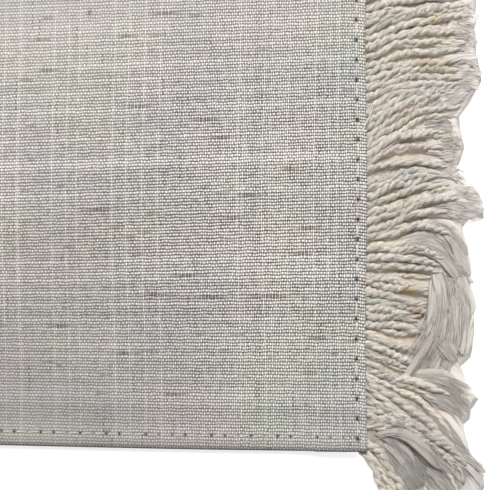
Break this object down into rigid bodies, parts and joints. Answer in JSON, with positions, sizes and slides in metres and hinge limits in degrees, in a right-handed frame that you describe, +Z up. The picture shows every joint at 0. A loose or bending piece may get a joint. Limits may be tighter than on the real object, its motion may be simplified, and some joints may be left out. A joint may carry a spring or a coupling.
{
  "type": "fringed placemat",
  "caption": "Flat rectangular woven placemat in natural slub cloth, hemmed along its long sides, with a twisted cotton yarn fringe along each short end.",
  "frame": {"origin": "middle of the cloth's flat underside, on the surface that it lies on", "axes": "+X along the mat towards the pictured fringe, +Y across it towards the far hem, +Z up out of the face"},
  "size_m": [0.4834, 0.3605, 0.0028],
  "materials": {
    "slub_cloth": "undyed linen-look plain weave with slubs, matt",
    "fringe_yarn": "natural two-ply cotton yarn, soft and matt, frayed at its ends"
  },
  "bodies": {
    "root": {"cloth": "slub_cloth", "fringe_right": "fringe_yarn", "fringe_left": "fringe_yarn"}
  },
  "joints": []
}
